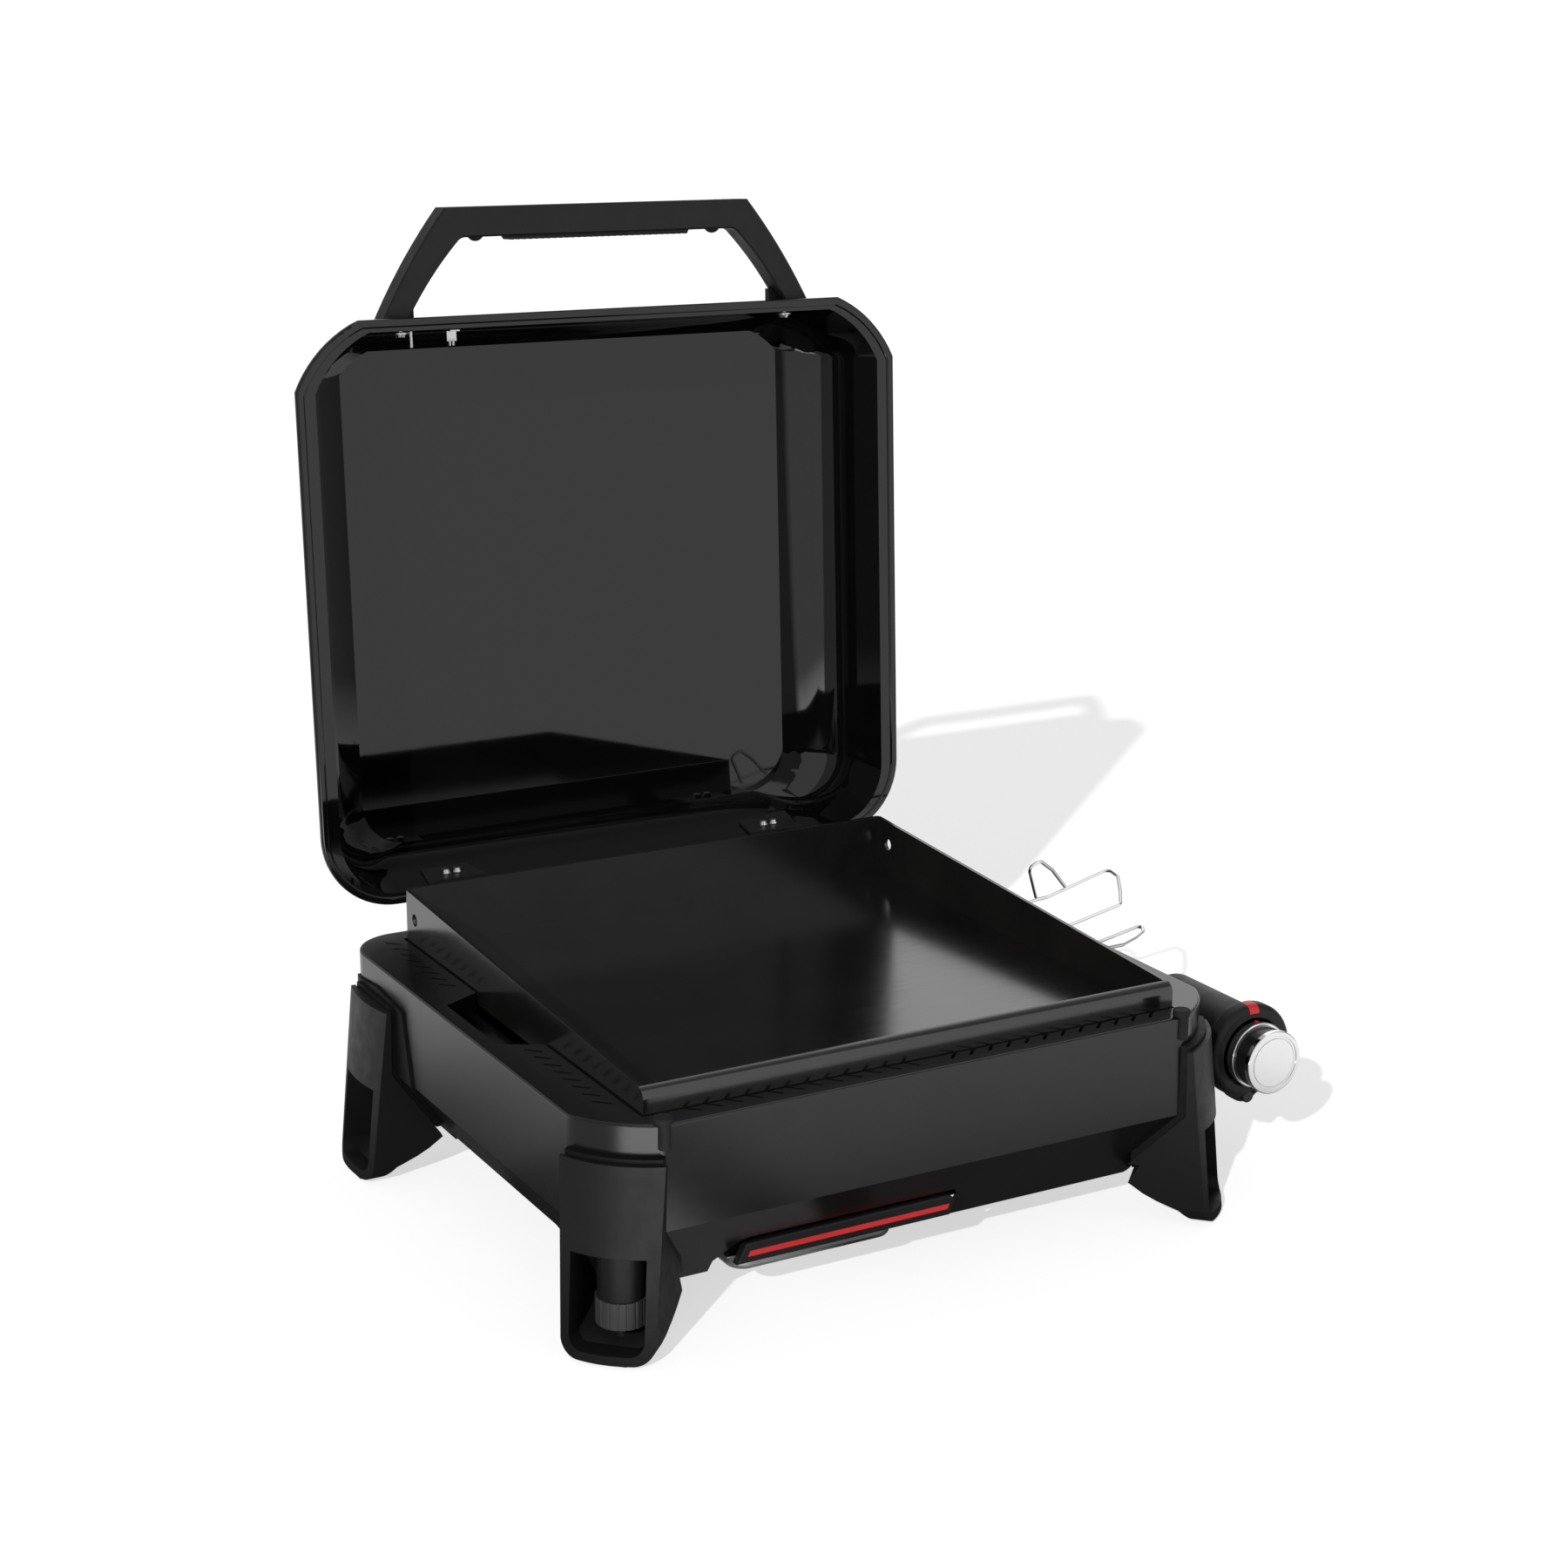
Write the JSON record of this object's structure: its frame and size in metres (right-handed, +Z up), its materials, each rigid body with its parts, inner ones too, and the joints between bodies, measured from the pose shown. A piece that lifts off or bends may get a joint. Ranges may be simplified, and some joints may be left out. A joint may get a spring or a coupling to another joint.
{
  "type": "portable gas griddle",
  "caption": "Table-top gas griddle: rectangular fire box on boot-shaped legs, lift-off steel plate, deep hinged lid standing open, grease drawer, side valve knob.",
  "frame": {"origin": "on the table, under the middle of the bounding box with the lid open", "axes": "+X to the right, seen from the front; +Y to the back; +Z up"},
  "size_m": [0.6682, 0.613, 0.7301],
  "materials": {
    "body_paint": "satin black powder coat",
    "lid_enamel": "gloss black porcelain enamel",
    "plate_steel": "dark seasoned carbon steel, satin",
    "black_plastic": "fine grained matt black, glass-filled",
    "bracket_plastic": "matt black",
    "black_rubber": "soft matt black",
    "hinge_steel": "black painted steel",
    "bright_steel": "plated steel",
    "burner_steel": "heat stained stainless",
    "spark_ceramic": "glazed white",
    "chrome": "bright chrome plate",
    "brushed_face": "spun satin metal",
    "knob_black": "semi-gloss black",
    "red_accent": "satin red",
    "inlet_brass": "machined",
    "tray_aluminium": "rolled foil satin"
  },
  "bodies": {
    "base": {"body_shell": "body_paint", "deck_frame": "body_paint", "plate_rests": "body_paint", "bottom_pan": "body_paint", "burner_tube": "burner_steel", "burner_brackets": "bright_steel", "igniter_electrode": "spark_ceramic", "base_hinge_bracket_left": "hinge_steel", "base_hinge_bracket_right": "hinge_steel", "hinge_pins": "bright_steel", "bumpers": "black_rubber", "bracket_rivets": "bright_steel", "leg_front_left": "black_plastic", "leg_bracket_front_left": "bracket_plastic", "leg_front_right": "black_plastic", "leg_bracket_front_right": "bracket_plastic", "leg_rear_left": "black_plastic", "leg_bracket_rear_left": "bracket_plastic", "leg_rear_right": "black_plastic", "leg_bracket_rear_right": "bracket_plastic", "foot_pads": "black_rubber", "leg_screws": "bright_steel", "valve_tube": "black_plastic", "valve_collar": "black_plastic", "off_mark": "red_accent", "low_mark": "red_accent", "regulator_inlet": "inlet_brass", "regulator_body": "bright_steel", "gas_pipe": "bright_steel", "holder_back_loop": "chrome", "holder_eye": "chrome", "holder_front_loop": "chrome", "holder_clips": "chrome", "tray_rails": "bright_steel"},
    "lid": {"lid_hinge_leaf_left": "hinge_steel", "lid_hinge_plate_left": "hinge_steel", "lid_hinge_leaf_right": "hinge_steel", "lid_hinge_plate_right": "hinge_steel", "lid_hinge_screws": "bright_steel", "lid_shell": "lid_enamel", "handle_frame": "black_plastic", "handle_grip": "black_rubber", "handle_buttons": "black_rubber", "handle_screws": "bright_steel", "lid_stud": "bright_steel", "lid_clip": "bright_steel"},
    "plate": {"griddle_plate": "plate_steel"},
    "drawer": {"grease_tray": "tray_aluminium", "tray_handle": "black_plastic", "tray_strip": "red_accent"},
    "knob": {"knob_base_ring": "chrome", "knob_band": "knob_black", "knob_cap": "chrome", "knob_face": "brushed_face", "knob_stem": "bright_steel", "knob_dot": "red_accent"},
    "button": {"igniter_button": "knob_black"},
    "leveller": {"leveller_knob": "black_plastic", "leveller_screw": "bright_steel"}
  },
  "joints": [
    {"name": "lid_hinge", "type": "hinge", "parent": "base", "child": "lid", "pos_m": [-0.04203, 0.18747, 0.16555], "axis": [1, 0, 0], "range_deg": [0, 92.92]},
    {"name": "plate_lift", "type": "slide", "parent": "base", "child": "plate", "axis": [0, 0, 1], "range_m": [0, 0.02]},
    {"name": "drawer_slide", "type": "slide", "parent": "base", "child": "drawer", "axis": [0, -1, 0], "range_m": [0, 0.11]},
    {"name": "knob_turn", "type": "hinge", "parent": "base", "child": "knob", "pos_m": [0.27797, -0.24471, 0.1046], "axis": [0, 1, 0], "range_deg": [0, 137]},
    {"name": "button_press", "type": "slide", "parent": "base", "child": "button", "axis": [0, 1, 0], "range_m": [0, 0.004], "stiffness_N_per_m": 600},
    {"name": "leveller_turn", "type": "hinge", "parent": "base", "child": "leveller", "pos_m": [-0.28038, -0.27232, 0], "axis": [0, 0, 1], "range_deg": [-180, 180]}
  ]
}
